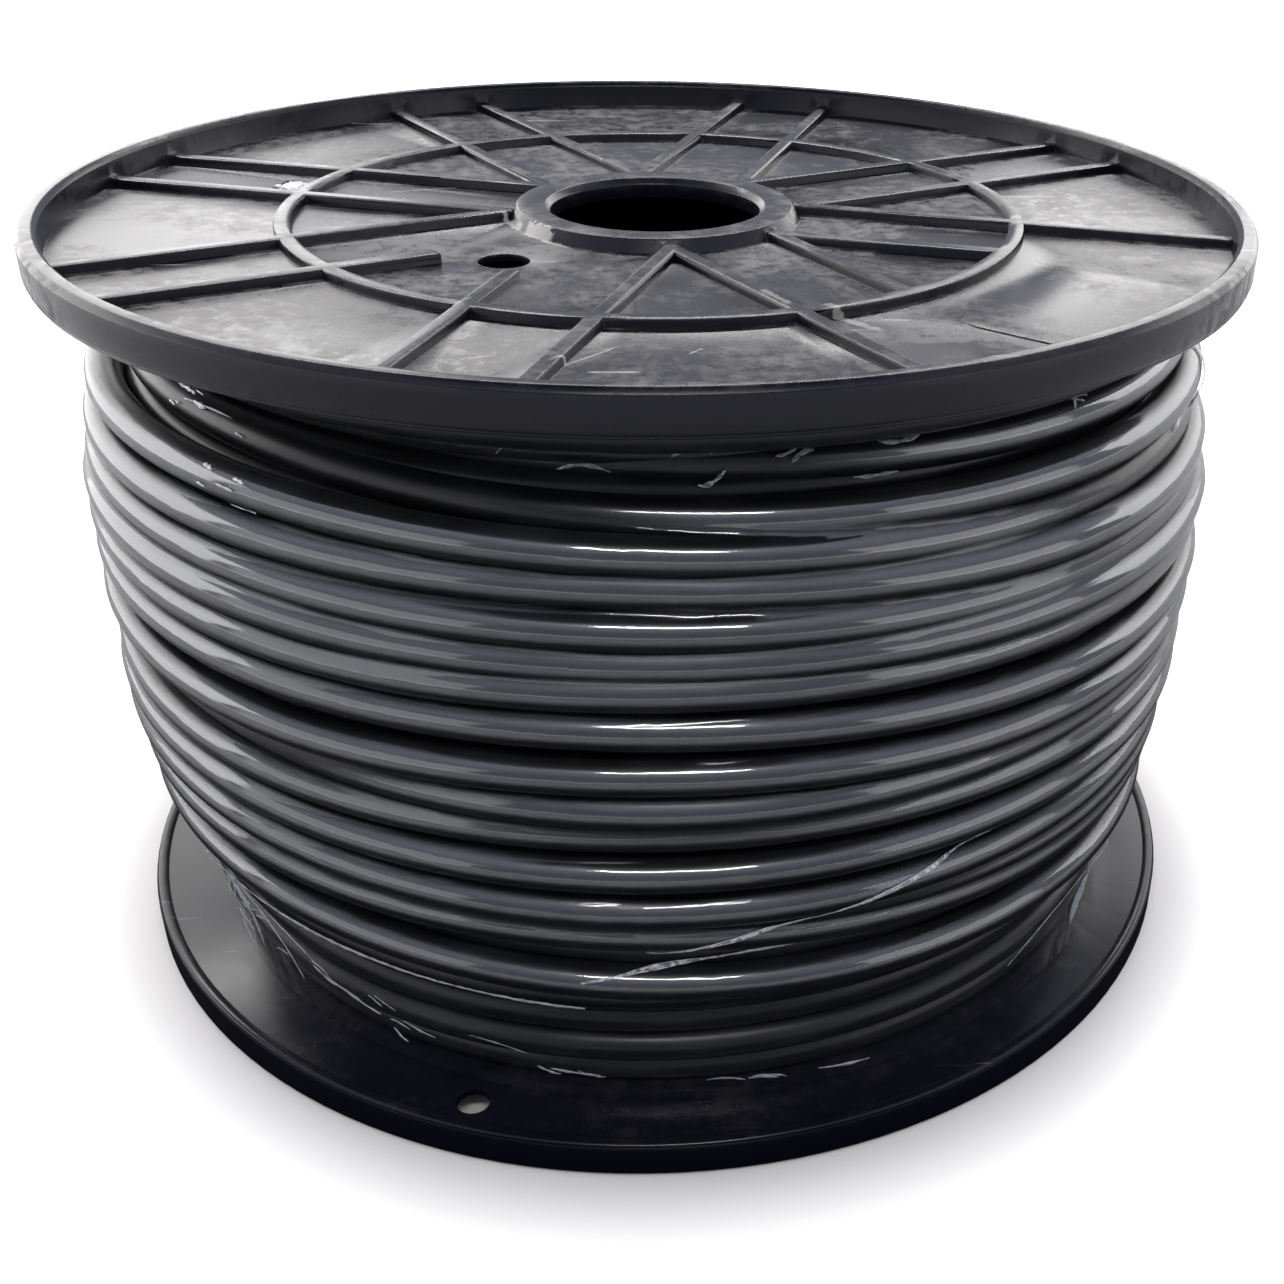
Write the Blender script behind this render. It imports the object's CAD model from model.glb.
"""Looks of a spool of power cable: a black moulded reel, wound full and wrapped in clear film.

Everything is in metres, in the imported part's own frame: +Z up along the reel's axis, the origin
on the axis at the floor. Angles round the reel are in degrees, anticlockwise from +X as seen
from above, so the side that faces the camera is at 270.
"""

import logging
import math
from dataclasses import dataclass, field
from enum import Enum

import bmesh
import bpy
import numpy as np
from mathutils import Matrix, Vector


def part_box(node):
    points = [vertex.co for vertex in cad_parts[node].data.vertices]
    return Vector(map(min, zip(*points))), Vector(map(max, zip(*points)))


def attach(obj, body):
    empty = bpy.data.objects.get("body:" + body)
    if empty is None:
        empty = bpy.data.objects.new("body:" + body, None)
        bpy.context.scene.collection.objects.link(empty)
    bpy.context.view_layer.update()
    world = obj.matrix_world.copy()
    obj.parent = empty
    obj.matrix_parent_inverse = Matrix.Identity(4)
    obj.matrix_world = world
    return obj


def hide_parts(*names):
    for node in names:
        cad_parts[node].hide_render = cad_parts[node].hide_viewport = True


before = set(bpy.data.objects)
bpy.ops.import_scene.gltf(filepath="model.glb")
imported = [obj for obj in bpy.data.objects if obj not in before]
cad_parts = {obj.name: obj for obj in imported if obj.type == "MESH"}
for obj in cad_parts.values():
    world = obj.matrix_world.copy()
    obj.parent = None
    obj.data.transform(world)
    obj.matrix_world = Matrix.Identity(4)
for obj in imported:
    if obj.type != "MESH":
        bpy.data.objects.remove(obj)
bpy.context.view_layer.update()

log = logging.getLogger("spool")
MM = 0.001
BODY = "root"
Tree = bpy.types.NodeTree
Socket = bpy.types.NodeSocket


class Slot(Enum):
    """Material slots of the part's record."""

    REEL = "reel_plastic"
    CABLE = "cable_sheath"
    FILM = "clear_film"


def linear(hex_colour: str) -> tuple[float, float, float, float]:
    """Turn an sRGB hex colour such as 1a1b1f into linear RGBA."""
    parts = [int(hex_colour[i:i + 2], 16) / 255 for i in (0, 2, 4)]
    return (*[c / 12.92 if c <= 0.04045 else ((c + 0.055) / 1.055) ** 2.4 for c in parts], 1.0)


def add(tree: Tree, kind: str, inputs: dict | None = None, **settings) -> bpy.types.Node:
    """Add a node to a tree, with its settings, socket values and links.

    Args:
        tree: The shader or geometry tree.
        kind: The node's type name.
        inputs: Value or output socket for each input, by name or index.
        **settings: Properties of the node itself.

    Returns:
        The new node.
    """
    node = tree.nodes.new(kind)
    for name, value in settings.items():
        setattr(node, name, value)
    for name, value in (inputs or {}).items():
        if isinstance(value, Socket):
            tree.links.new(value, node.inputs[name])
        else:
            node.inputs[name].default_value = value
    return node


def ramp(tree: Tree, value: Socket, low: float, high: float) -> Socket:
    """Fade from 0 at low to 1 at high, smoothly, and return the fade's socket."""
    node = add(tree, "ShaderNodeMapRange", {0: value, 1: low, 2: high}, interpolation_type="SMOOTHSTEP")
    return node.outputs[0]


def math_node(tree: Tree, operation: str, first: Socket | float, second: Socket | float = 0.0) -> Socket:
    """Combine two values or sockets by one operation of a Math node and return its socket."""
    return add(tree, "ShaderNodeMath", {0: first, 1: second}, operation=operation).outputs[0]


def noise(tree: Tree, place: Socket, size_mm: float, detail: float, roughness: float = 0.5,
          distortion: float = 0.0) -> Socket:
    """Make a Noise texture with lumps of a size in millimetres and return its value's socket."""
    inputs = {"Vector": place, "Scale": 1000 / size_mm, "Detail": detail, "Roughness": roughness,
              "Distortion": distortion}
    return add(tree, "ShaderNodeTexNoise", inputs).outputs[0]


def mixed(tree: Tree, share: Socket, first: Socket | str, second: Socket | str) -> Socket:
    """Mix two colours, each a socket or an sRGB hex colour, and return the mix's socket."""
    first, second = [linear(colour) if isinstance(colour, str) else colour for colour in (first, second)]
    return add(tree, "ShaderNodeMix", {0: share, 6: first, 7: second}, data_type="RGBA").outputs[2]


@dataclass(frozen=True)
class Scuff:
    """A pale scuff on the upper plate: its two ends and its width in millimetres, and its strength."""

    start: tuple[float, float]
    end: tuple[float, float]
    width: float
    strength: float


SCUFFS = (
    Scuff((-51, -6), (-44, -22), 2.2, 0.8), Scuff((-43, -23), (-33, -36), 3.4, 1.0),
    Scuff((-37, -33), (-27, -43), 1.6, 0.6), Scuff((-2, -50), (14, -48), 1.6, 0.5),
    Scuff((-29, -160), (-10, -139), 0.9, 0.8), Scuff((-52, -150), (-42, -146), 0.8, 0.7),
    Scuff((-19, -160), (-4, -160), 1.0, 0.9), Scuff((8, -146), (12, -141), 0.9, 0.7),
    Scuff((40, -103), (64, -128), 3.0, 0.5), Scuff((30, -96), (38, -112), 2.2, 0.5),
    Scuff((-96, 30), (-70, 38), 1.4, 0.4), Scuff((-60, -118), (-52, -104), 1.0, 0.5),
)


@dataclass(frozen=True)
class MouldedPlastic:
    """Injection-moulded black ABS: satin, scuffed and dusty where reels are stacked and slid.

    The eye gets a near-black with a cold cast that turns grey where the light grazes it, a fine
    moulded texture, dull dusty patches and a few pale scratches.
    """

    name: str = "moulded_black_abs"
    base: str = "0b0c14"
    dust: str = "6b6865"
    scuff: str = "9a9894"
    roughness: float = 0.24
    dusty_roughness: float = 0.5
    ior: float = 1.33
    grain_mm: float = 0.7
    patch_mm: float = 46.0
    dust_share: float = 0.72
    lies_from: tuple[float, float] = (0.7, 0.97)
    scratched: float = 0.6
    scratch_sets: tuple[tuple[float, float, float], ...] = ((0.5, 5.0, 3.0), (2.0, 7.0, 8.0))
    drawn_out: tuple[float, float, float] = (0.06, 1.0, 0.06)
    scuffs: tuple[Scuff, ...] = SCUFFS
    ragged_mm: float = 2.38

    def material(self) -> bpy.types.Material:
        """Build the material on Object coordinates."""
        mat = bpy.data.materials.new(self.name)
        mat.use_nodes = True
        tree = mat.node_tree
        bsdf = tree.nodes["Principled BSDF"]
        place = add(tree, "ShaderNodeTexCoord").outputs["Object"]
        patch = noise(tree, place, self.patch_mm, 5.0, 0.68, 0.6)
        fine = noise(tree, place, self.patch_mm * 0.12, 3.0, 0.7)
        dusty = math_node(tree, "MULTIPLY", ramp(tree, patch, 0.4, 0.66), ramp(tree, fine, 0.3, 0.66))
        normal = add(tree, "ShaderNodeNewGeometry").outputs["Normal"]
        lying = ramp(tree, add(tree, "ShaderNodeSeparateXYZ", {0: normal}).outputs[2], *self.lies_from)
        settled = math_node(tree, "MULTIPLY", dusty, lying)
        settled = math_node(tree, "MULTIPLY", settled, self.dust_share)
        colour = mixed(tree, settled, self.base, self.dust)
        colour = mixed(tree, self.scratches(tree, place, lying), colour, self.scuff)
        rough = add(tree, "ShaderNodeMapRange", {0: dusty, 3: self.roughness,
                                                 4: self.dusty_roughness}).outputs[0]
        grain = noise(tree, place, self.grain_mm, 2.0)
        bump = add(tree, "ShaderNodeBump", {"Height": grain, "Strength": 0.06, "Distance": 0.0002})
        tree.links.new(colour, bsdf.inputs["Base Color"])
        tree.links.new(rough, bsdf.inputs["Roughness"])
        tree.links.new(bump.outputs[0], bsdf.inputs["Normal"])
        bsdf.inputs["IOR"].default_value = self.ior
        return mat

    def scratches(self, tree: Tree, place: Socket, lying: Socket) -> Socket:
        """Thin pale lines in two crossing sets, broken up, and the scuffs read from the photo.

        Args:
            tree: The material's tree.
            place: Object coordinates.
            lying: How far a face lies flat and looks up, 0 to 1.

        Returns:
            How pale the surface is, 0 to 1.
        """
        total = None
        for turn, width_mm, shift in self.scratch_sets:
            drawn = add(tree, "ShaderNodeMapping", {"Vector": place, "Location": (shift, 0, 0),
                                                    "Rotation": (0, 0, turn), "Scale": self.drawn_out})
            line = ramp(tree, noise(tree, drawn.outputs[0], width_mm, 3.0, 0.6), 0.7, 0.73)
            total = line if total is None else math_node(tree, "MAXIMUM", total, line)
        total = math_node(tree, "MULTIPLY", total, math_node(tree, "MULTIPLY", lying, self.scratched))
        if self.scuffs:
            ragged = noise(tree, place, self.ragged_mm, 2.0)
            for scuff in self.scuffs:
                total = math_node(tree, "MAXIMUM", total, self.scuffed(tree, place, ragged, scuff))
        return total

    def scuffed(self, tree: Tree, place: Socket, ragged: Socket, scuff: Scuff) -> Socket:
        """One scuff: pale within a ragged width of the line between its ends, seen from above."""
        start, end = Vector((*scuff.start, 0)) * MM, Vector((*scuff.end, 0)) * MM
        reach, middle = (end - start).length / 2, (start + end) / 2
        along = (end - start).normalized()
        side = along.cross(Vector((0, 0, 1)))
        off = add(tree, "ShaderNodeVectorMath", {0: place, 1: middle}, operation="SUBTRACT").outputs[0]
        run = add(tree, "ShaderNodeVectorMath", {0: off, 1: along}, operation="DOT_PRODUCT").outputs["Value"]
        away = add(tree, "ShaderNodeVectorMath", {0: off, 1: side}, operation="DOT_PRODUCT").outputs["Value"]
        wide = math_node(tree, "MULTIPLY", ragged, scuff.width * MM)
        inside = math_node(tree, "SUBTRACT", wide, math_node(tree, "ABSOLUTE", away))
        inside = ramp(tree, inside, 0.0, 0.2 * MM)
        ends = ramp(tree, math_node(tree, "ABSOLUTE", run), reach, reach * 0.7)
        return math_node(tree, "MULTIPLY", math_node(tree, "MULTIPLY", inside, ends), scuff.strength)


@dataclass(frozen=True)
class SheathPvc:
    """Extruded black PVC sheath: satin, with faint drawn-out unevenness along its length."""

    name: str = "black_pvc_sheath"
    base: str = "101113"
    worn: str = "191a1d"
    roughness: float = 0.3
    ior: float = 1.32
    wave_mm: float = 22.0

    def material(self) -> bpy.types.Material:
        """Build the material on Object coordinates, stretched along the turns."""
        mat = bpy.data.materials.new(self.name)
        mat.use_nodes = True
        tree = mat.node_tree
        bsdf = tree.nodes["Principled BSDF"]
        place = add(tree, "ShaderNodeTexCoord").outputs["Object"]
        drawn = add(tree, "ShaderNodeMapping", {"Vector": place, "Scale": (1.0, 1.0, 7.0)}).outputs[0]
        wave = noise(tree, drawn, self.wave_mm, 3.0)
        colour = mixed(tree, ramp(tree, wave, 0.4, 0.7), self.base, self.worn)
        rough = add(tree, "ShaderNodeMapRange", {0: wave, 3: self.roughness - 0.06,
                                                 4: self.roughness + 0.1}).outputs[0]
        bump = add(tree, "ShaderNodeBump", {"Height": wave, "Strength": 0.1, "Distance": 0.0008})
        tree.links.new(colour, bsdf.inputs["Base Color"])
        tree.links.new(rough, bsdf.inputs["Roughness"])
        tree.links.new(bump.outputs[0], bsdf.inputs["Normal"])
        bsdf.inputs["IOR"].default_value = self.ior
        return mat


@dataclass(frozen=True)
class StretchFilm:
    """Clear LLDPE stretch film: wet-looking where it clings, hardly seen where it bridges a groove."""

    name: str = "clear_lldpe_film"
    colour: str = "e6e8ec"
    roughness: float = 0.1
    ior: float = 1.5
    sheen: float = 2.5
    most: float = 0.12
    wrinkle_mm: float = 13.0
    patch_mm: float = 38.0

    def material(self) -> bpy.types.Material:
        """Build the material: a see-through shader under a mirror-like one, mixed by Fresnel."""
        mat = bpy.data.materials.new(self.name)
        mat.use_nodes = True
        tree = mat.node_tree
        bsdf = tree.nodes["Principled BSDF"]
        place = add(tree, "ShaderNodeTexCoord").outputs["Object"]
        flat = add(tree, "ShaderNodeMapping", {"Vector": place, "Scale": (1.0, 1.0, 3.2)}).outputs[0]
        wrinkle = noise(tree, flat, self.wrinkle_mm, 0.0, 0.5, 1.0)
        patch = noise(tree, flat, self.patch_mm, 3.0)
        height = math_node(tree, "MULTIPLY", wrinkle, ramp(tree, patch, 0.48, 0.7))
        bump = add(tree, "ShaderNodeBump", {"Height": height, "Strength": 0.16, "Distance": 0.001}).outputs[0]
        clings = add(tree, "ShaderNodeAttribute", attribute_name="cling").outputs["Fac"]
        shine = add(tree, "ShaderNodeFresnel", {"IOR": self.ior, "Normal": bump}).outputs[0]
        cover = math_node(tree, "MINIMUM", math_node(tree, "MULTIPLY", shine, self.sheen), self.most)
        cover = math_node(tree, "MULTIPLY", cover, clings)
        bsdf.inputs["Base Color"].default_value = linear(self.colour)
        bsdf.inputs["Metallic"].default_value = 1.0
        bsdf.inputs["Roughness"].default_value = self.roughness
        tree.links.new(bump, bsdf.inputs["Normal"])
        clear = add(tree, "ShaderNodeBsdfTransparent")
        mix = add(tree, "ShaderNodeMixShader", {0: cover, 1: clear.outputs[0], 2: bsdf.outputs[0]})
        tree.links.new(mix.outputs[0], tree.nodes["Material Output"].inputs["Surface"])
        return mat


@dataclass(frozen=True)
class WhitenedFilm:
    """The same film where it is torn, roped or creased: stress-whitened, shiny and half clear."""

    name: str = "whitened_lldpe_film"
    colour: str = "d9dce2"
    roughness: float = 0.16
    ior: float = 1.5
    crease_mm: float = 2.4

    def material(self) -> bpy.types.Material:
        """Build the material: white plastic showing in streaks through clear film."""
        mat = bpy.data.materials.new(self.name)
        mat.use_nodes = True
        tree = mat.node_tree
        bsdf = tree.nodes["Principled BSDF"]
        place = add(tree, "ShaderNodeTexCoord").outputs["Object"]
        crease = noise(tree, place, self.crease_mm, 3.0, 0.5, 1.0)
        bump = add(tree, "ShaderNodeBump", {"Height": crease, "Strength": 0.6, "Distance": 0.0006}).outputs[0]
        white = add(tree, "ShaderNodeAttribute", attribute_name="white").outputs["Fac"]
        streak = math_node(tree, "MULTIPLY", ramp(tree, crease, 0.42, 0.62), white)
        shine = add(tree, "ShaderNodeFresnel", {"IOR": self.ior, "Normal": bump}).outputs[0]
        cover = math_node(tree, "ADD", math_node(tree, "MULTIPLY", shine, 2.0), streak)
        cover = math_node(tree, "MINIMUM", cover, 0.95)
        bsdf.inputs["Base Color"].default_value = linear(self.colour)
        bsdf.inputs["Roughness"].default_value = self.roughness
        bsdf.inputs["IOR"].default_value = self.ior
        tree.links.new(bump, bsdf.inputs["Normal"])
        clear = add(tree, "ShaderNodeBsdfTransparent")
        mix = add(tree, "ShaderNodeMixShader", {0: cover, 1: clear.outputs[0], 2: bsdf.outputs[0]})
        tree.links.new(mix.outputs[0], tree.nodes["Material Output"].inputs["Surface"])
        return mat


def sweep_tree() -> Tree:
    """Geometry Nodes tree that sweeps a round section along every chain of edges given to it."""
    tree = bpy.data.node_groups.new("sweep_round_section", "GeometryNodeTree")
    face = tree.interface
    face.new_socket("Paths", in_out="INPUT", socket_type="NodeSocketGeometry")
    face.new_socket("Diameter", in_out="INPUT", socket_type="NodeSocketFloat")
    face.new_socket("Sides", in_out="INPUT", socket_type="NodeSocketInt")
    face.new_socket("Material", in_out="INPUT", socket_type="NodeSocketMaterial")
    face.new_socket("Swept", in_out="OUTPUT", socket_type="NodeSocketGeometry")
    given = add(tree, "NodeGroupInput").outputs
    width = add(tree, "GeometryNodeInputNamedAttribute", {"Name": "width"}, data_type="FLOAT").outputs[0]
    curve = add(tree, "GeometryNodeMeshToCurve", {0: given["Paths"]}).outputs[0]
    curve = add(tree, "GeometryNodeSetCurveRadius", {"Curve": curve, "Radius": width}).outputs[0]
    radius = math_node(tree, "MULTIPLY", given["Diameter"], 0.5)
    section = add(tree, "GeometryNodeCurvePrimitiveCircle", {"Resolution": given["Sides"], "Radius": radius})
    tube = add(tree, "GeometryNodeCurveToMesh", {"Curve": curve, "Profile Curve": section.outputs[0],
                                                 "Fill Caps": True}).outputs[0]
    tube = add(tree, "GeometryNodeSetShadeSmooth", {0: tube}).outputs[0]
    tube = add(tree, "GeometryNodeRealizeInstances", {0: tube}).outputs[0]
    tube = add(tree, "GeometryNodeSetMaterial", {"Geometry": tube, "Material": given["Material"]}).outputs[0]
    add(tree, "NodeGroupOutput", {0: tube})
    return tree


def swept(name: str, tree: Tree, paths: list[np.ndarray], widths: list[np.ndarray],
          diameter: float, sides: int, material: bpy.types.Material) -> bpy.types.Object:
    """Sweep a round section along paths and return the result as one plain mesh object.

    Args:
        name: The piece's name.
        tree: The sweeping tree.
        paths: Points of each path, one row each.
        widths: For each path, the share of the diameter at each of its points.
        diameter: Diameter of the section where the share is 1.
        sides: Sides of the section.
        material: Material set by the tree.

    Returns:
        The finished piece, with no modifier left on it.
    """
    points, edges, shares, start = [], [], [], 0
    for path, width in zip(paths, widths):
        points.extend(path)
        shares.extend(width)
        edges.extend((start + i, start + i + 1) for i in range(len(path) - 1))
        start += len(path)
    mesh = bpy.data.meshes.new(name + "_paths")
    mesh.from_pydata([tuple(p) for p in points], edges, [])
    mesh.attributes.new("width", "FLOAT", "POINT").data.foreach_set("value", np.array(shares, np.float32))
    holder = bpy.data.objects.new(name, mesh)
    bpy.context.scene.collection.objects.link(holder)
    nodes = holder.modifiers.new("sweep", "NODES")
    nodes.node_group = tree
    for item in tree.interface.items_tree:
        value = {"Diameter": diameter, "Sides": sides, "Material": material}.get(item.name)
        if value is not None and item.in_out == "INPUT":
            nodes[item.identifier] = value
    return as_mesh(holder, material)


def new_piece(name: str, points: list, faces: list,
              values: dict[str, np.ndarray] | None = None) -> bpy.types.Object:
    """Make a smooth-shaded mesh object and link it to the scene.

    Args:
        name: Name of the object and of its mesh.
        points: Coordinates of each point.
        faces: Point numbers of each face, anticlockwise as seen from outside.
        values: A number at each point, by attribute name.

    Returns:
        The new object.
    """
    mesh = bpy.data.meshes.new(name)
    mesh.from_pydata(points, [], faces)
    for attribute, numbers in (values or {}).items():
        data = mesh.attributes.new(attribute, "FLOAT", "POINT").data
        data.foreach_set("value", np.asarray(numbers, dtype=np.float32))
    mesh.shade_smooth()
    piece = bpy.data.objects.new(name, mesh)
    bpy.context.scene.collection.objects.link(piece)
    return piece


def as_mesh(holder: bpy.types.Object, material: bpy.types.Material) -> bpy.types.Object:
    """Turn an object with modifiers into a plain mesh object of the same name."""
    depsgraph = bpy.context.evaluated_depsgraph_get()
    mesh = bpy.data.meshes.new_from_object(holder.evaluated_get(depsgraph), depsgraph=depsgraph)
    holder.modifiers.clear()
    holder.data = mesh
    mesh.materials.clear()
    mesh.materials.append(material)
    return holder


def set_on(piece: bpy.types.Object, slot: Slot, *nodes: str) -> bpy.types.Object:
    """Say what a finished piece rides on, which slot it takes and which nodes it stands for."""
    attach(piece, BODY)
    if nodes:
        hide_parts(*nodes)
    log.info("%s: %d faces", piece.name, len(piece.data.polygons))
    return piece


@dataclass
class Reel:
    """The moulded reel: two alike flanges with rounded edges, and the barrel between them."""

    handled: MouldedPlastic = field(default_factory=MouldedPlastic)
    sheltered: MouldedPlastic = field(default_factory=lambda: MouldedPlastic(
        name="clean_moulded_black_abs", base="0a0b13", dust_share=0.05, roughness=0.2, dusty_roughness=0.26,
        ior=1.3, scratched=0.15, scuffs=()))
    rim_round: float = 1.6 * MM
    rib_round: float = 1.1 * MM
    fine_round: float = 0.3 * MM
    step_round: float = 0.15 * MM
    sharp: float = math.radians(28)
    rim_inner: float = 193.5 * MM
    rim_corner: float = 12.0 * MM
    crest_depth: float = 6.8 * MM
    panel_depth: float = 9.4 * MM
    near: float = 0.1 * MM
    bead_middle: float = 197.4 * MM
    bead_half: float = 2.0 * MM
    bead_rise: float = 0.9 * MM
    bead_sides: int = 12
    bead_columns: int = 360
    rim_height: float = 12.4 * MM

    def build(self) -> None:
        """Round the edges of both flanges and dress all three mouldings."""
        dusty, clean = self.handled.material(), self.sheltered.material()
        for node, name, material in (("top_flange", "upper_flange", dusty),
                                     ("bottom_flange", "lower_flange", clean)):
            piece = self.rounded(node, name)
            piece.data.materials.clear()
            piece.data.materials.append(material)
            set_on(piece, Slot.REEL, node)
        for name, level, side, material in (("lower_rim_bead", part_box("bottom_flange")[0].z, 1, clean),
                                            ("upper_rim_bead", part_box("top_flange")[1].z, -1, dusty)):
            set_on(self.bead(name, level + side * self.rim_height, side, material), Slot.REEL)
        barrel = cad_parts["barrel"]
        for spot in barrel.material_slots:
            spot.material = clean
        log.info("barrel: dressed")

    def rounded(self, node: str, name: str) -> bpy.types.Object:
        """Copy a flange node, merge its loose triangles and bevel its sharp edges."""
        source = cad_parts[node]
        piece = bpy.data.objects.new(name, source.data.copy())
        bpy.context.scene.collection.objects.link(piece)
        body = bmesh.new()
        body.from_mesh(piece.data)
        bmesh.ops.remove_doubles(body, verts=body.verts, dist=0.01 * MM)
        weight = body.edges.layers.float.new("bevel_weight_edge")
        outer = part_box(node)[1].z if node == "top_flange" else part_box(node)[0].z
        for edge in body.edges:
            if edge.is_manifold and edge.calc_face_angle(0.0) > self.sharp:
                edge[weight] = self.edge_round(edge, outer) / self.rim_round
        body.to_mesh(piece.data)
        body.free()
        bevel = piece.modifiers.new("edges", "BEVEL")
        bevel.limit_method = "WEIGHT"
        bevel.width = self.rim_round
        bevel.segments = 2
        bevel.use_clamp_overlap = False
        bevel.harden_normals = False
        depsgraph = bpy.context.evaluated_depsgraph_get()
        mesh = bpy.data.meshes.new_from_object(piece.evaluated_get(depsgraph), depsgraph=depsgraph)
        piece.modifiers.clear()
        piece.data = mesh
        mesh.shade_smooth()
        mesh.set_sharp_from_angle(angle=self.sharp)
        return piece

    def bead(self, name: str, level: float, side: int, material: bpy.types.Material) -> bpy.types.Object:
        """The rounded bead moulded along the rim, on the face that holds the cable."""
        bend = np.linspace(0, 2 * math.pi, self.bead_sides, endpoint=False)
        turn = np.linspace(0, 2 * math.pi, self.bead_columns, endpoint=False)
        radius = np.tile(self.bead_middle + self.bead_half * np.cos(bend), len(turn))
        height = np.tile(level + side * self.bead_rise * np.sin(bend), len(turn))
        points = points_of(np.repeat(turn, len(bend)), radius, height)
        count, faces = len(bend), []
        for i in range(len(turn)):
            near, far = i * count, (i + 1) % len(turn) * count
            for j in range(count):
                after = (j + 1) % count
                loop = (near + j, far + j, far + after, near + after)
                faces.append(loop if side > 0 else loop[::-1])
        piece = new_piece(name, points.tolist(), faces)
        piece.data.materials.append(material)
        return piece

    def edge_round(self, edge: bmesh.types.BMEdge, outer: float) -> float:
        """Radius for an edge: large on the rim, middling on rib crests, small elsewhere."""
        middle = (edge.verts[0].co + edge.verts[1].co) / 2
        depth = abs(middle.z - outer)
        radius = math.hypot(middle.x, middle.y)
        if radius > self.rim_inner and depth > self.rim_corner:
            return self.rim_round
        if abs(depth - self.crest_depth) < self.near:
            return self.rib_round
        if abs(depth - self.panel_depth) < self.near:
            return self.step_round
        return self.fine_round


@dataclass
class Winding:
    """The wound cable: an outer layer laid as it is seen, a plain layer under it, and the end rows.

    Each row of the lay gives one turn, from the lower flange up, in millimetres: its heights at the
    left, the middle and the right of the front, and how far it is sunk between its neighbours there.
    The lead is how far the outer layer runs on past the first and last places, and both its ends dive
    under the turns.
    """

    finish: SheathPvc = field(default_factory=SheathPvc)
    diameter: float = 11.5 * MM
    samples: int = 180
    sides: int = 16
    hidden_sides: int = 10
    seen_at: tuple[float, float, float] = (228.0, 270.0, 310.0)
    lead: float = 130.0
    easing: float = 26.0
    wander: float = 1.2 * MM
    lift: float = 0.8 * MM
    seed: int = 11
    under: float = 12.5 * MM
    first_row: float = 0.55
    dive: float = 20.0 * MM
    dive_over: float = 70.0
    lay_mm: tuple[tuple[float, ...], ...] = (
        (18.8, 18.8, 18.8, 4, 4, 4), (30, 30, 30, 3, 3, 3), (41.5, 41, 41, 6, 6, 6), (54, 53, 52, 7, 6, 6),
        (73.5, 65.5, 63, 0, 0, 0), (80.5, 74.5, 70.5, 8, 7, 8), (88, 85, 79.5, 0, 2, 0),
        (94.5, 90, 87, 8, 5, 1.5), (100.5, 95.5, 95, 0, 1, 2), (112.5, 109, 109.5, 0, 0, 0),
        (122, 121, 121.5, 2, 4, 1),
        (131.5, 131.5, 130, 7, 0, 4), (142.5, 145.5, 140, 0, 0, 0), (157, 158.5, 151.5, 1, 0, 0),
        (167.5, 169.5, 165.5, 1, 0, 2), (180, 178.5, 176.5, 0, 2, 0), (188.5, 188.5, 184.5, 2, 0, 3),
        (198, 197, 192, 1, 3, 0), (211.5, 207.5, 201.5, 0, 0, 4), (221, 216.5, 215, 12, 6, 0),
        (230, 226.5, 225.5, 19, 14, 3), (239, 236.5, 233.5, 23, 19, 7))
    crest_profile_mm: tuple[tuple[float, float], ...] = (
        (12, 172), (25, 178), (50, 186), (75, 191), (100, 194), (125, 195.5), (150, 196),
        (180, 195.5), (200, 192), (220, 187), (246, 182))

    def __post_init__(self) -> None:
        """Work out the levels between the flanges."""
        low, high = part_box("cable_winding")
        self.low = low.z + self.diameter / 2
        self.high = high.z - self.diameter / 2
        self.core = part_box("barrel")[1].x

    def crest(self, level: np.ndarray) -> np.ndarray:
        """Radius of the wound surface at a height."""
        heights, radii = np.array(self.crest_profile_mm).T * MM
        return np.interp(level, heights, radii)

    def sway(self, turn: np.ndarray, seed: int) -> np.ndarray:
        """Smooth wander along the cable, about 1 at most, that never repeats from turn to turn."""
        rng = np.random.default_rng(seed)
        rates, total = (0.31, 0.73, 1.27, 1.9, 2.83), 0.0
        for rate in rates:
            total = total + np.sin(2 * math.pi * rate * turn + rng.uniform(0, 2 * math.pi)) / (1 + rate)
        return total / 1.4

    def laid(self) -> tuple[np.ndarray, np.ndarray, np.ndarray]:
        """Angles, radii and heights along the outer layer, which climbs clockwise seen from above."""
        lay = np.array(self.lay_mm) * MM
        places = -np.array(self.seen_at[::-1])
        knots = np.concatenate([places + 360 * turn for turn in range(len(lay))])
        along = np.arange(knots[0] - self.lead, knots[-1] + self.lead, 360 / self.samples)
        level = self.eased(along, knots, lay[:, 2::-1].ravel())
        sunk = self.eased(along, knots, lay[:, :2:-1].ravel())
        turn = along / 360
        level = np.clip(level + self.wander * self.sway(turn, self.seed), self.low, self.high)
        radius = self.crest(level) - self.diameter / 2 - sunk + self.lift * self.sway(turn, self.seed + 1)
        left = np.minimum(along - along[0], along[-1] - along) / self.dive_over
        radius -= self.dive * np.clip(1 - left, 0, 1) ** 2
        return np.radians(-along), radius, level

    def eased(self, along: np.ndarray, knots: np.ndarray, values: np.ndarray) -> np.ndarray:
        """Values at the knots, joined by straight runs along the turns and then smoothed."""
        half = round(self.easing * self.samples / 360)
        window = np.hanning(2 * half + 3)[1:-1]
        straight = np.pad(np.interp(along, knots, values), half, mode="edge")
        return np.convolve(straight, window / window.sum(), mode="valid")

    def plain(self) -> np.ndarray:
        """Points of the layer under the outer one, wound evenly."""
        turns = int((self.high - self.low) / self.diameter)
        turn = np.arange(turns * self.samples + 1) / self.samples
        level = np.linspace(self.low, self.high, len(turn))
        return points_of(-2 * math.pi * turn, self.crest(level) - self.diameter / 2 - self.under, level)

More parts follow.
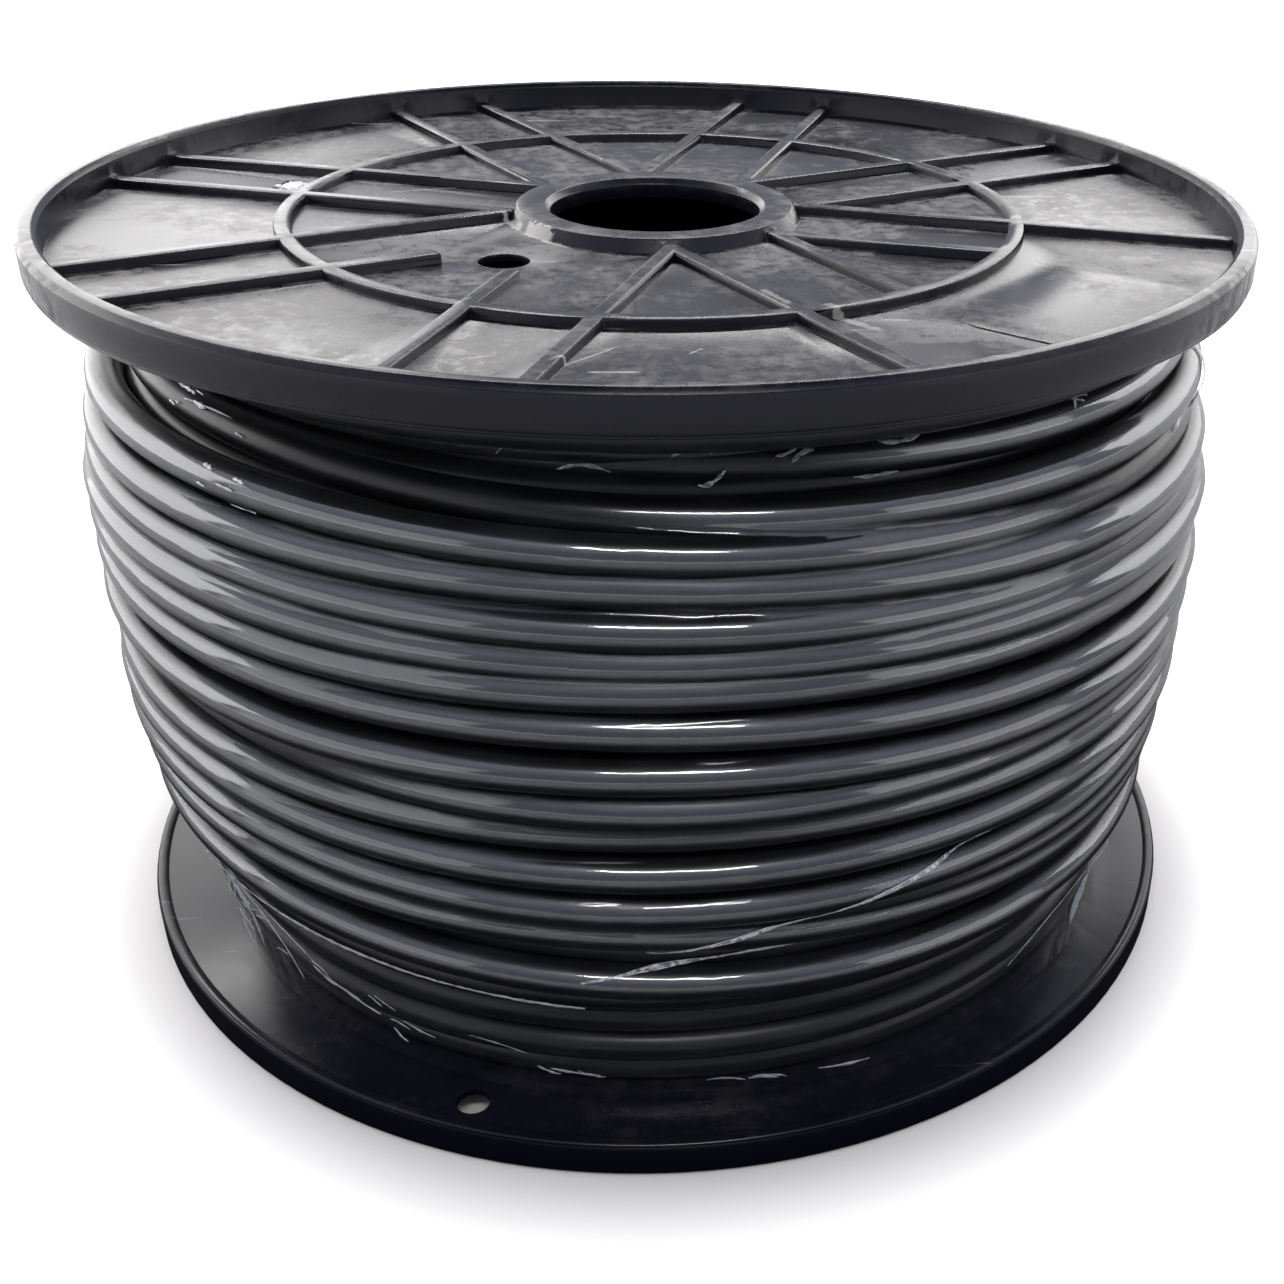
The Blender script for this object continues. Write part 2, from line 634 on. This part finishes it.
    def end_row(self, level: float) -> np.ndarray:
        """Points of the spiral row of turns against a flange."""
        rows = int((self.crest(level) - self.core) / self.diameter)
        turn = np.arange(rows * self.samples + 1) / self.samples
        radius = self.core + self.diameter * (self.first_row + turn)
        return points_of(2 * math.pi * turn, radius, np.full_like(turn, level))

    def build(self, tree: Tree) -> None:
        """Sweep the layers and stand them in for the plain winding."""
        material = self.finish.material()
        self.outer = self.laid()
        hidden = [self.plain(), self.end_row(self.low), self.end_row(self.high)]
        for name, paths, sides in (("cable_outer_layer", [points_of(*self.outer)], self.sides),
                                   ("cable_inner_layers", hidden, self.hidden_sides)):
            widths = [np.ones(len(path)) for path in paths]
            piece = swept(name, tree, paths, widths, self.diameter, sides, material)
            set_on(piece, Slot.CABLE, "cable_winding")


def points_of(angle: np.ndarray, radius: np.ndarray, level: np.ndarray) -> np.ndarray:
    """Points in space, one row each, from angles, radii and heights round the axis."""
    return np.stack([radius * np.cos(angle), radius * np.sin(angle), level], axis=1)


@dataclass(frozen=True)
class Strip:
    """A narrow run of film on the skin: a fold, a strand or a torn shred.

    The route is a few points of angle in degrees and height in millimetres. The lift is how far
    the strip stands off the skin along its middle, and the rise is what its far end adds.
    """

    route: tuple[tuple[float, float], ...]
    width_mm: float
    lift_mm: float = 0.5
    rise_mm: float = 0.0
    white: float = 0.5


@dataclass
class FilmWrap:
    """Clear stretch film round the winding: a clinging skin, with folds, strands and shreds on it."""

    winding: Winding
    finish: StretchFilm = field(default_factory=StretchFilm)
    torn_finish: WhitenedFilm = field(default_factory=WhitenedFilm)
    columns: int = 360
    rows: int = 270
    tight: float = 1.0 * MM
    slack: float = 120.0 * MM
    clear: float = 0.25 * MM
    tuck: float = 0.8 * MM
    clings_from: tuple[float, float] = (-20.0, 4.0)
    clings_to: tuple[float, float] = (56.0, 72.0)
    sunk: tuple[float, float] = (1.0 * MM, 2.8 * MM)
    drape_shine: float = 0.6
    drape_top: tuple[tuple[float, float], ...] = ((0, 66), (228, 73.5), (270, 65.5), (310, 63), (360, 66))
    gathers: tuple[tuple[float, float, float], ...] = ((220.0, 66.0, 11.0), (322.0, 54.0, 7.0))
    gather_relief: float = 1.6 * MM
    foot_radius: float = 185.0 * MM
    fan_half: float = 0.8
    fan_from: float = 12.0 * MM
    fan_to: float = 60.0 * MM
    fan_fade: float = 20.0 * MM
    arc_radius: float = 190.0 * MM
    glint: float = 3.0
    flakes: tuple[tuple[int, tuple[float, float], tuple[float, float]], ...] = (
        (12, (216, 300), (221, 237)), (6, (300, 345), (222, 236)), (8, (0, 200), (222, 238)))
    edge_mm: float = 241.0
    foot_mm: float = 14.0
    creases: int = 18
    crumples: int = 26
    wad_at: tuple[float, float] = (163.1, 132.8)
    wad_size: float = 11.5 * MM
    wad_depth: float = 9.7 * MM
    wad_points: int = 9
    wad_white: float = 2.0
    strip_step: float = 1.6 * MM
    strip_thick: float = 0.12 * MM
    strip_points: int = 5
    crimp_mm: float = 0.35
    seed: int = 5

    def bare(self) -> tuple[np.ndarray, np.ndarray]:
        """Heights, and the radius of the bare cable over a grid of those heights and of angles."""
        wind = self.winding
        angle, radius, level = wind.outer
        step, reach = wind.samples, wind.diameter / 2
        short = -len(level) % step
        near, high = [np.pad(run, (0, short), constant_values=-1.0).reshape(-1, step)
                      for run in (radius, level)]
        heights = np.linspace(wind.low - reach + self.tuck, wind.high + reach - self.tuck, self.rows)
        surface = np.tile((wind.crest(heights) - wind.under)[:, None], (1, step))
        for turn in range(len(near)):
            gap = heights[:, None] - high[turn][None]
            cap = np.sqrt(np.clip(reach**2 - gap**2, 0, None))
            surface = np.maximum(surface, np.where(np.abs(gap) < reach, near[turn][None] + cap, 0))
        order = np.argsort(np.round(np.degrees(angle[:step]) % 360, 3) % 360)
        return heights, surface[:, order]

    def bridged(self, heights: np.ndarray, surface: np.ndarray, bend: float) -> np.ndarray:
        """The surface closed by a sheet that can't bend inwards tighter than a radius."""
        drop = (heights[:, None] - heights[None]) ** 2 / (2 * bend)
        raised = np.stack([(surface - row[:, None]).max(axis=0) for row in drop])
        return np.stack([(raised + row[:, None]).min(axis=0) for row in drop])

    def shape(self) -> None:
        """Lay the film over the bare cable: tight on the turns, and draped from one down to the foot."""
        self.heights, surface = self.bare()
        angles = np.arange(surface.shape[1]) * 360 / surface.shape[1]
        places, tops = np.array(self.drape_top).T
        top = np.interp(angles, places, tops) * MM
        hugging = self.bridged(self.heights, surface, self.tight)
        outline = self.bridged(self.heights, surface, self.slack / 3)
        below = np.where(self.heights[:, None] <= top[None], surface, 0.0)
        draped = self.bridged(self.heights, below, self.slack)
        in_drape = self.heights[:, None] <= top[None]
        self.grid = np.where(in_drape, np.maximum(draped, hugging), hugging)
        lean = np.degrees(np.arctan2(-np.gradient(self.grid, axis=0), np.gradient(self.heights)[:, None]))
        rising, falling = [np.clip((lean - near) / (far - near), 0, 1)
                           for near, far in (self.clings_from, self.clings_to)]
        depth = np.clip((outline - self.grid - self.sunk[0]) / (self.sunk[1] - self.sunk[0]), 0, 1)
        cling = rising * (1 - falling) * (1 - depth)
        self.cling = np.where(in_drape, cling * self.drape_shine, cling)

    def read(self, grid: np.ndarray, angle: np.ndarray, level: np.ndarray) -> np.ndarray:
        """Values of a grid at angles in radians and heights."""
        count = grid.shape[1]
        column = (np.degrees(angle) % 360.0) / 360.0 * count
        first = np.floor(column).astype(int) % count
        share = column - np.floor(column)
        row = np.interp(level, self.heights, np.arange(len(self.heights)))
        below = np.clip(np.floor(row).astype(int), 0, len(self.heights) - 2)
        rise = row - below
        near = grid[below, first] * (1 - share) + grid[below, (first + 1) % count] * share
        far = grid[below + 1, first] * (1 - share) + grid[below + 1, (first + 1) % count] * share
        return near * (1 - rise) + far * rise

    def pleats(self, angle: np.ndarray, level: np.ndarray) -> np.ndarray:
        """Height of the pleats that fan down from each point where the film gathers.

        Args:
            angle: Angles in radians.
            level: Heights in metres.

        Returns:
            How far the pleats lift the film at each of those points.
        """
        total = np.zeros_like(angle)
        for place, height_mm, count in self.gathers:
            across = (np.degrees(angle) - place + 180) % 360 - 180
            across = np.radians(across) * self.foot_radius
            down = height_mm * MM - level
            reach = np.hypot(across, down)
            heading = np.arctan2(across, down)
            fan = np.clip(1.15 - np.abs(heading) / self.fan_half, 0, 1) * np.clip(reach / self.fan_from, 0, 1)
            fan *= np.clip((self.fan_to - reach) / self.fan_fade, 0, 1) * (down > 0)
            total += fan * np.abs(np.sin(heading * count + 2.1 * np.sin(heading * 5))) ** 3
        return total * self.gather_relief

    def skin(self, material: bpy.types.Material) -> bpy.types.Object:
        """The clinging skin, one closed run round the reel, tucked behind the rims at both ends."""
        angles = np.arange(self.columns) * 2 * math.pi / self.columns
        angle, level = [run.ravel() for run in np.meshgrid(angles, self.heights)]
        radius = self.read(self.grid, angle, level) + self.clear + self.pleats(angle, level)
        points = points_of(angle, radius, level)
        faces = []
        for row in range(self.rows - 1):
            for column in range(self.columns):
                after = (column + 1) % self.columns
                low, high = row * self.columns, (row + 1) * self.columns
                faces.append((low + column, low + after, high + after, high + column))
        cling = self.read(self.cling, angle, level)
        cling = cling + self.pleats(angle, level) / self.gather_relief * self.glint
        piece = new_piece("film_skin", points.tolist(), faces, {"cling": cling})
        piece.data.materials.append(material)
        return piece

    def folds(self) -> list[Strip]:
        """The roped folds and strands that show on the front."""
        strips = [
            Strip(((268, 80), (280, 88), (292, 97), (301, 103)), 1.6, 0.3, 0.0, 0.35),
            Strip(((262, 70), (272, 74), (286, 77)), 1.4, 0.3, 0.0, 0.3),
            Strip(((216, 66), (232, 64), (248, 60), (262, 58)), 2.2, 0.3, 0.0, 0.3),
            Strip(((330, 206), (337, 212), (345, 222)), 2.6, 0.6, 0.0, 0.4),
        ]
        rng = np.random.default_rng(self.seed)
        for place, height, count in self.gathers:
            for turn in np.linspace(-1, 1, int(count / 2)):
                swing = 13 * turn + rng.uniform(-1.5, 1.5)
                foot = height - rng.uniform(0.5, 0.8) * (height - self.foot_mm)
                middle = (place + 0.42 * swing, (height + foot) / 2 + rng.uniform(0, 4))
                strips.append(Strip(((place, height), middle, (place + swing, foot)),
                                    rng.uniform(0.9, 2.2), 0.2, 0.0, 0.0))
        for _ in range(self.crumples):
            share = rng.uniform(0, 1)
            place, height = 211 + 80 * share**1.5, 18 + (1 - share) * rng.uniform(6, 42)
            swing, drop = rng.uniform(1.5, 6), rng.uniform(0.5, 7) * (1 - 0.7 * share)
            middle = (place + swing / 2, height - drop / 2 + rng.uniform(-1, 1))
            strips.append(Strip(((place, height), middle, (place + swing, max(height - drop, self.foot_mm))),
                                rng.uniform(0.5, 1.5), 0.3, rng.uniform(0, 0.4), 0.0))
        return strips

    def shreds(self) -> list[Strip]:
        """Torn flakes along the upper edge, and small creases that catch the light on the left."""
        rng = np.random.default_rng(self.seed + 1)
        strips = []
        for count, (start, end), (low, high) in self.flakes:
            for _ in range(count):
                place, height = rng.uniform(start, end), rng.uniform(low, high)
                swing, climb = rng.uniform(2, 9), rng.uniform(-3, 5)
                middle = (place + swing / 2, height + climb / 2 + rng.uniform(-1.5, 1.5))
                route = ((place, height), middle, (place + swing, min(height + climb, self.edge_mm)))
                strips.append(Strip(route, rng.uniform(0.5, 1.6), 0.4, rng.uniform(0, 0.6),
                                    rng.uniform(0.05, 0.3)))
        for _ in range(self.creases):
            place = rng.uniform(214, 236)
            height = 232 - 0.9 * (place - 214) + rng.uniform(-9, 5)
            swing = rng.uniform(0.4, 2.2)
            route = ((place, height), (place + swing / 2, height - 0.2), (place + swing, height - 0.5))
            strips.append(Strip(route, rng.uniform(0.6, 1.7), 0.3, 0.0, rng.uniform(0.7, 1.3)))
        return strips

    def strip_mesh(self, name: str, strips: list[Strip], material: bpy.types.Material) -> bpy.types.Object:
        """Lay strips over the skin, each crimped across its width, and give them a thickness.

        Args:
            name: The piece's name.
            strips: What to lay.
            material: The strips' material.

        Returns:
            All the strips as one piece.
        """
        rng = np.random.default_rng(self.seed + 2)
        across = np.linspace(-1, 1, self.strip_points)
        points, faces, whites = [], [], []
        for strip in strips:
            place, height = np.array(strip.route).T
            knots = np.linspace(0, 1, len(place))
            run = np.hypot(np.diff(np.radians(place)) * self.arc_radius, np.diff(height) * MM).sum()
            count = max(6, int(run / self.strip_step))
            along = np.linspace(0, 1, count)
            bend = np.polynomial.polynomial.Polynomial.fit(knots, place, 2)(along)
            climb = np.polynomial.polynomial.Polynomial.fit(knots, height, 2)(along) * MM
            heading = np.arctan2(np.gradient(climb), np.gradient(np.radians(bend)) * self.arc_radius)
            ragged = 0.7 + 0.3 * np.sin(along * rng.uniform(9, 16) + rng.uniform(0, 6))
            half = strip.width_mm * MM / 2 * np.sqrt(np.sin(math.pi * (0.04 + 0.92 * along))) * ragged
            crimp = rng.uniform(-self.crimp_mm, self.crimp_mm, (count, len(across))) * MM
            crimp *= min(1.0, strip.width_mm / 2)
            first = len(points)
            for i in range(count):
                angle = np.radians(bend[i]) - across * half[i] * math.sin(heading[i]) / self.arc_radius
                level = np.clip(climb[i] + across * half[i] * math.cos(heading[i]),
                                self.heights[0], self.heights[-1])
                radius = self.read(self.grid, angle, level) + self.clear + strip.lift_mm * MM
                radius += self.pleats(angle, level) + strip.rise_mm * MM * along[i] ** 2 + np.abs(crimp[i])
                points.extend(points_of(angle, radius, level).tolist())
                whites.extend([strip.white] * len(across))
            for i in range(count - 1):
                for j in range(len(across) - 1):
                    low, high = first + i * len(across) + j, first + (i + 1) * len(across) + j
                    faces.append((low, high, high + 1, low + 1))
        piece = new_piece(name, points, faces, {"white": whites})
        wall = piece.modifiers.new("thickness", "SOLIDIFY")
        wall.thickness = self.strip_thick
        wall.offset = 0.0
        return as_mesh(piece, material)

    def wad(self, material: bpy.types.Material) -> bpy.types.Object:
        """The crumpled end of film that shows white in the slot of the upper flange."""
        rng = np.random.default_rng(self.seed + 3)
        turn = math.radians(self.wad_at[0])
        out = Vector((math.cos(turn), math.sin(turn), 0))
        side = Vector((-math.sin(turn), math.cos(turn), 0))
        steps = np.linspace(-0.5, 0.5, self.wad_points) * self.wad_size
        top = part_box("top_flange")[1].z - self.wad_depth
        points = [out * (self.wad_at[1] * MM + x) + side * y + Vector((0, 0, top + rng.uniform(-1, 1) * MM))
                  for x in steps for y in steps]
        count = len(steps)
        faces = [(i * count + j, (i + 1) * count + j, (i + 1) * count + j + 1, i * count + j + 1)
                 for i in range(count - 1) for j in range(count - 1)]
        whites = np.full(len(points), self.wad_white)
        piece = new_piece("film_wad", [tuple(p) for p in points], faces, {"white": whites})
        wall = piece.modifiers.new("thickness", "SOLIDIFY")
        wall.thickness = self.strip_thick
        return as_mesh(piece, material)

    def build(self) -> None:
        """Make the skin, its folds, shreds and wad, and stand them in for the plain skin."""
        self.shape()
        torn = self.torn_finish.material()
        for piece in (self.skin(self.finish.material()), self.strip_mesh("film_folds", self.folds(), torn),
                      self.strip_mesh("film_shreds", self.shreds(), torn), self.wad(torn)):
            set_on(piece, Slot.FILM, "film_wrap")


@dataclass(frozen=True)
class SoftBox:
    """An area lamp: degrees clockwise from +Y, distance and height in metres, size and radiance."""

    name: str
    azimuth: float
    distance: float
    height: float
    width: float
    depth: float
    radiance: float


@dataclass
class Studio:
    """Pale floor, soft lamps and the camera of the photograph."""

    focal_px: float = 1613.2
    image_px: float = 1284.0
    centre_px: tuple[float, float] = (800.9, 697.6)
    stand: tuple[float, float, float] = (0.0, -0.56098, 0.38766)
    pitch: float = 0.5327
    yaw: float = 0.0976
    roll: float = 0.0302
    surround: float = 0.55
    surround_tint: str = "e8edff"
    brighter_above: float = 2.2
    rise: tuple[float, float] = (0.35, 0.8)
    overhead: float = 0.02
    fade: tuple[float, float] = (0.82, 0.94)
    floor_side: float = 12.0
    floor_seen: str = "c8c6c4"
    floor_colour: str = "c4c4c4"
    floor_foot: str = "141414"
    foot_reach: tuple[float, float] = (0.24, 0.46)
    floor_lift: float = 0.95
    seen_far: tuple[float, float] = (0.19, 0.262)
    mirrored_far: tuple[float, float] = (1.2, 2.4)
    wall_tint: tuple[float, float, float] = (1.0, 0.975, 0.95)
    aim_height: float = 0.14
    boxes: tuple[SoftBox, ...] = (
        SoftBox("left_wall", -53.0, 1.8, 0.62, 3.2, 1.2, 3.6),
        SoftBox("right_wall", 50.0, 1.8, 0.72, 2.5, 1.0, 3.3),
        SoftBox("left_fill", -122.0, 1.8, 0.5, 1.6, 0.9, 1.1),
        SoftBox("right_fill", 120.0, 1.8, 0.5, 1.4, 0.9, 1.4),
        SoftBox("front_strip", 177.0, 1.25, 1.7, 0.8, 0.16, 36.0),
        SoftBox("back_strip", -10.0, 1.4, 1.5, 2.4, 0.14, 26.0),
    )

    def build(self) -> None:
        """Set the floor, the lamps, the world and the camera."""
        scene = bpy.context.scene
        scene.view_settings.view_transform = "Standard"
        self.floor()
        self.world(scene)
        self.lamps()
        self.camera(scene)

    def floor(self) -> None:
        """A wide pale floor at the reel's foot."""
        side = self.floor_side
        corners = [(-side, -side, 0), (side, -side, 0), (side, side, 0), (-side, side, 0)]
        floor = new_piece("studio_floor", corners, [(0, 1, 2, 3)])
        mat = bpy.data.materials.new("white_paper")
        mat.use_nodes = True
        tree = mat.node_tree
        bsdf = tree.nodes["Principled BSDF"]
        bsdf.inputs["Roughness"].default_value = 0.9
        bsdf.inputs["Specular IOR Level"].default_value = 0.1
        path = add(tree, "ShaderNodeLightPath").outputs
        place = add(tree, "ShaderNodeTexCoord").outputs["Object"]
        away = add(tree, "ShaderNodeVectorMath", {0: place}, operation="LENGTH").outputs["Value"]
        colour = mixed(tree, ramp(tree, away, *self.foot_reach), self.floor_foot, self.floor_colour)
        colour = mixed(tree, path["Is Camera Ray"], colour, self.floor_seen)
        tree.links.new(colour, bsdf.inputs["Base Color"])
        mirrored = math_node(tree, "MAXIMUM", path["Is Glossy Ray"], path["Is Transmission Ray"])
        lift = math_node(tree, "MULTIPLY", mirrored, ramp(tree, away, *self.mirrored_far))
        near = ramp(tree, away, *self.seen_far)
        lift = math_node(tree, "ADD", lift, math_node(tree, "MULTIPLY", path["Is Camera Ray"], near))
        lift = math_node(tree, "MULTIPLY", lift, self.floor_lift)
        bsdf.inputs["Emission Color"].default_value = (1, 1, 1, 1)
        tree.links.new(lift, bsdf.inputs["Emission Strength"])
        floor.data.materials.append(mat)

    def world(self, scene: bpy.types.Scene) -> None:
        """A pale surround, brighter higher up, that fades out overhead."""
        world = bpy.data.worlds.new("studio_world")
        scene.world = world
        world.use_nodes = True
        tree = world.node_tree
        background = tree.nodes["Background"]
        background.inputs["Color"].default_value = linear(self.surround_tint)
        heading = add(tree, "ShaderNodeTexCoord").outputs["Generated"]
        up = add(tree, "ShaderNodeSeparateXYZ", {0: heading}).outputs[2]
        high = self.surround * self.brighter_above
        level = add(tree, "ShaderNodeMapRange", {0: up, 1: self.rise[0], 2: self.rise[1], 3: self.surround,
                                                 4: high}).outputs[0]
        dimmed = math_node(tree, "MULTIPLY", ramp(tree, up, *self.fade), high)
        level = math_node(tree, "SUBTRACT", level, dimmed)
        level = math_node(tree, "MAXIMUM", level, self.overhead)
        tree.links.new(level, background.inputs["Strength"])

    def lamps(self) -> None:
        """Wide soft walls at the sides, and strip lamps high in front and behind."""
        for box in self.boxes:
            light = bpy.data.lights.new(box.name, "AREA")
            light.shape = "RECTANGLE"
            light.size, light.size_y = box.width, box.depth
            light.color = self.wall_tint
            light.energy = box.radiance * math.pi * box.width * box.depth
            lamp = bpy.data.objects.new(box.name, light)
            turn = math.radians(box.azimuth)
            lamp.location = (box.distance * math.sin(turn), box.distance * math.cos(turn), box.height)
            aim = Vector((0, 0, self.aim_height)) - lamp.location
            lamp.rotation_euler = aim.to_track_quat("-Z", "Y").to_euler()
            bpy.context.scene.collection.objects.link(lamp)

    def camera(self, scene: bpy.types.Scene) -> None:
        """The pinhole camera fitted to the flanges' outlines."""
        ahead = Vector((math.sin(self.yaw) * math.cos(self.pitch),
                        math.cos(self.yaw) * math.cos(self.pitch), -math.sin(self.pitch)))
        flat = Vector((math.cos(self.yaw), -math.sin(self.yaw), 0))
        above = flat.cross(ahead)
        right = math.cos(self.roll) * flat + math.sin(self.roll) * above
        up = -math.sin(self.roll) * flat + math.cos(self.roll) * above
        data = bpy.data.cameras.new("photo_camera")
        data.sensor_width = 36.0
        data.lens = self.focal_px / self.image_px * data.sensor_width
        data.shift_x = 0.5 - self.centre_px[0] / self.image_px
        data.shift_y = self.centre_px[1] / self.image_px - 0.5
        camera = bpy.data.objects.new("photo_camera", data)
        turn = Matrix((right, up, -ahead)).transposed().to_4x4()
        camera.matrix_world = Matrix.Translation(Vector(self.stand)) @ turn
        scene.collection.objects.link(camera)
        scene.camera = camera


def main() -> None:
    """Build the reel, the winding, the film and the studio, in that order."""
    logging.basicConfig(level=logging.INFO, format="%(name)s %(message)s")
    tree = sweep_tree()
    Reel().build()
    winding = Winding()
    winding.build(tree)
    FilmWrap(winding).build()
    Studio().build()


if __name__ == "__main__":
    main()
